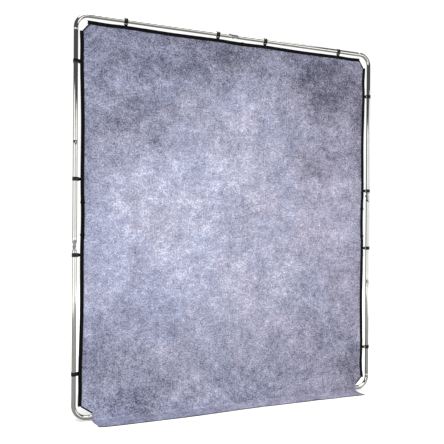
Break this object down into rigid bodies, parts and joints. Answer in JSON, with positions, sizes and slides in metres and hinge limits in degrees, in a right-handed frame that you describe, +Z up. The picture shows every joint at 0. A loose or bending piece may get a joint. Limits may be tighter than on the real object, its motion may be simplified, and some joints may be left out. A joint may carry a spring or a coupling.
{
  "type": "background support",
  "caption": "Free-standing folding frame of round aluminium tube with bent corners and hinged rails, which holds a mottled cloth background with a floor skirt by snap clips, on swing-out feet.",
  "frame": {"origin": "on the floor, midway across the frame and midway between the skirt's front edge and the heel caps' ends", "axes": "+Z up the frame, -Y the way the printed side of the cloth faces, +X to the right as seen from the front"},
  "size_m": [2.0056, 0.5002, 2.3094],
  "materials": {
    "aluminium_tube": "polished, bright",
    "cast_knuckle": "cast, tumbled satin",
    "zinc_steel": "zinc plated",
    "clip_plastic": "moulded black, glossy",
    "printed_cloth": "matte woven cloth with a mottled blue-grey print and black edging",
    "edging_webbing": "black woven webbing",
    "foot_steel": "black powder coat, satin",
    "knob_plastic": "moulded black nylon",
    "cap_rubber": "matte black"
  },
  "bodies": {
    "left_half": {"left_corner_tube": "aluminium_tube", "left_inner_tube": "aluminium_tube", "left_outer_tube": "aluminium_tube", "top_corner_tube": "aluminium_tube", "bottom_straight_tube": "aluminium_tube", "left_corner_spigot": "aluminium_tube", "left_slip_spigot": "aluminium_tube", "bottom_corner_spigot": "aluminium_tube", "left_hinge_fork": "cast_knuckle", "left_hinge_tongue": "cast_knuckle", "left_hinge_pin": "zinc_steel", "top_hinge_fork": "cast_knuckle", "top_hinge_pin": "zinc_steel", "bottom_hinge_tongue": "cast_knuckle", "cover_left": "printed_cloth", "left_foot_clamp": "foot_steel", "left_foot_pivot": "zinc_steel"},
    "right_half": {"top_straight_tube": "aluminium_tube", "right_corner_tube": "aluminium_tube", "right_inner_tube": "aluminium_tube", "right_outer_tube": "aluminium_tube", "bottom_corner_tube": "aluminium_tube", "top_corner_spigot": "aluminium_tube", "right_corner_spigot": "aluminium_tube", "right_slip_spigot": "aluminium_tube", "right_hinge_fork": "cast_knuckle", "right_hinge_tongue": "cast_knuckle", "right_hinge_pin": "zinc_steel", "top_hinge_tongue": "cast_knuckle", "bottom_hinge_fork": "cast_knuckle", "bottom_hinge_pin": "zinc_steel", "cover_right": "printed_cloth", "right_foot_clamp": "foot_steel", "right_foot_pivot": "zinc_steel"},
    "left_foot": {"left_foot_bar": "foot_steel", "left_toe_cap": "cap_rubber", "left_heel_cap": "cap_rubber"},
    "left_clamp_knob": {"left_clamp_knob": "knob_plastic"},
    "right_foot": {"right_foot_bar": "foot_steel", "right_toe_cap": "cap_rubber", "right_heel_cap": "cap_rubber"},
    "right_clamp_knob": {"right_clamp_knob": "knob_plastic"},
    "left_clip_1": {"left_clip_1": "clip_plastic"},
    "left_clip_2": {"left_clip_2": "clip_plastic"},
    "left_clip_3": {"left_clip_3": "clip_plastic"},
    "left_clip_4": {"left_clip_4": "clip_plastic"},
    "right_clip_1": {"right_clip_1": "clip_plastic"},
    "right_clip_2": {"right_clip_2": "clip_plastic"},
    "right_clip_3": {"right_clip_3": "clip_plastic"},
    "right_clip_4": {"right_clip_4": "clip_plastic"},
    "top_clip_1": {"top_clip_1": "clip_plastic"},
    "top_clip_2": {"top_clip_2": "clip_plastic"},
    "top_clip_3": {"top_clip_3": "clip_plastic"},
    "top_clip_4": {"top_clip_4": "clip_plastic"},
    "left_corner_button": {"left_corner_button": "zinc_steel"},
    "top_corner_button": {"top_corner_button": "zinc_steel"},
    "right_corner_button": {"right_corner_button": "zinc_steel"},
    "bottom_corner_button": {"bottom_corner_button": "zinc_steel"},
    "left_slip_button": {"left_slip_button": "zinc_steel"},
    "right_slip_button": {"right_slip_button": "zinc_steel"}
  },
  "joints": [
    {"name": "frame_fold", "type": "hinge", "parent": "left_half", "child": "right_half", "pos_m": [-0.022, -0.08724, 1.1566], "axis": [0, 0, 1], "range_deg": [0, 170]},
    {"name": "left_foot_swing", "type": "hinge", "parent": "left_half", "child": "left_foot", "pos_m": [-0.52, -0.07324, 0.0025], "axis": [0, 0, 1], "range_deg": [0, 90]},
    {"name": "left_knob_turn", "type": "hinge", "parent": "left_half", "child": "left_clamp_knob", "pos_m": [-0.52, -0.10124, 0.0441], "axis": [0, 0, 1], "continuous": true},
    {"name": "right_foot_swing", "type": "hinge", "parent": "right_half", "child": "right_foot", "pos_m": [0.52, -0.07324, 0.0025], "axis": [0, 0, -1], "range_deg": [0, 90]},
    {"name": "right_knob_turn", "type": "hinge", "parent": "right_half", "child": "right_clamp_knob", "pos_m": [0.52, -0.10124, 0.0441], "axis": [0, 0, 1], "continuous": true},
    {"name": "left_clip_1_release", "type": "hinge", "parent": "left_half", "child": "left_clip_1", "pos_m": [-0.9675, -0.10124, 2.02906], "axis": [0, 0, 1], "range_deg": [0, 75]},
    {"name": "left_clip_2_release", "type": "hinge", "parent": "left_half", "child": "left_clip_2", "pos_m": [-0.9675, -0.10124, 1.36704], "axis": [0, 0, 1], "range_deg": [0, 75]},
    {"name": "left_clip_3_release", "type": "hinge", "parent": "left_half", "child": "left_clip_3", "pos_m": [-0.9675, -0.10124, 0.93934], "axis": [0, 0, 1], "range_deg": [0, 75]},
    {"name": "left_clip_4_release", "type": "hinge", "parent": "left_half", "child": "left_clip_4", "pos_m": [-0.9675, -0.10124, 0.27049], "axis": [0, 0, 1], "range_deg": [0, 75]},
    {"name": "right_clip_1_release", "type": "hinge", "parent": "right_half", "child": "right_clip_1", "pos_m": [0.9675, -0.10124, 2.01086], "axis": [0, 0, -1], "range_deg": [0, 75]},
    {"name": "right_clip_2_release", "type": "hinge", "parent": "right_half", "child": "right_clip_2", "pos_m": [0.9675, -0.10124, 1.36249], "axis": [0, 0, -1], "range_deg": [0, 75]},
    {"name": "right_clip_3_release", "type": "hinge", "parent": "right_half", "child": "right_clip_3", "pos_m": [0.9675, -0.10124, 0.97005], "axis": [0, 0, -1], "range_deg": [0, 75]},
    {"name": "right_clip_4_release", "type": "hinge", "parent": "right_half", "child": "right_clip_4", "pos_m": [0.9675, -0.10124, 0.2921], "axis": [0, 0, -1], "range_deg": [0, 75]},
    {"name": "top_clip_1_release", "type": "hinge", "parent": "left_half", "child": "top_clip_1", "pos_m": [-0.70409, -0.10124, 2.2741], "axis": [1, 0, 0], "range_deg": [0, 75]},
    {"name": "top_clip_2_release", "type": "hinge", "parent": "left_half", "child": "top_clip_2", "pos_m": [-0.13035, -0.10124, 2.2741], "axis": [1, 0, 0], "range_deg": [0, 75]},
    {"name": "top_clip_3_release", "type": "hinge", "parent": "right_half", "child": "top_clip_3", "pos_m": [0.19256, -0.10124, 2.2741], "axis": [1, 0, 0], "range_deg": [0, 75]},
    {"name": "top_clip_4_release", "type": "hinge", "parent": "right_half", "child": "top_clip_4", "pos_m": [0.73964, -0.10124, 2.2741], "axis": [1, 0, 0], "range_deg": [0, 75]},
    {"name": "left_corner_button_press", "type": "slide", "parent": "left_half", "child": "left_corner_button", "axis": [0, -1, 0], "range_m": [0, 0.0025], "stiffness_N_per_m": 200, "springref_m": -0.002},
    {"name": "top_corner_button_press", "type": "slide", "parent": "right_half", "child": "top_corner_button", "axis": [0, -1, 0], "range_m": [0, 0.0025], "stiffness_N_per_m": 200, "springref_m": -0.002},
    {"name": "right_corner_button_press", "type": "slide", "parent": "right_half", "child": "right_corner_button", "axis": [0, -1, 0], "range_m": [0, 0.0025], "stiffness_N_per_m": 200, "springref_m": -0.002},
    {"name": "bottom_corner_button_press", "type": "slide", "parent": "left_half", "child": "bottom_corner_button", "axis": [0, -1, 0], "range_m": [0, 0.0025], "stiffness_N_per_m": 200, "springref_m": -0.002},
    {"name": "left_slip_button_press", "type": "slide", "parent": "left_half", "child": "left_slip_button", "axis": [0, 1, 0], "range_m": [0, 0.0025], "stiffness_N_per_m": 200, "springref_m": -0.002},
    {"name": "right_slip_button_press", "type": "slide", "parent": "right_half", "child": "right_slip_button", "axis": [0, 1, 0], "range_m": [0, 0.0025], "stiffness_N_per_m": 200, "springref_m": -0.002}
  ],
  "couplings": [
    {"joint": "left_foot_swing", "follows": "frame_fold", "ratio": 0.52941},
    {"joint": "right_foot_swing", "follows": "frame_fold", "ratio": 0.52941}
  ]
}
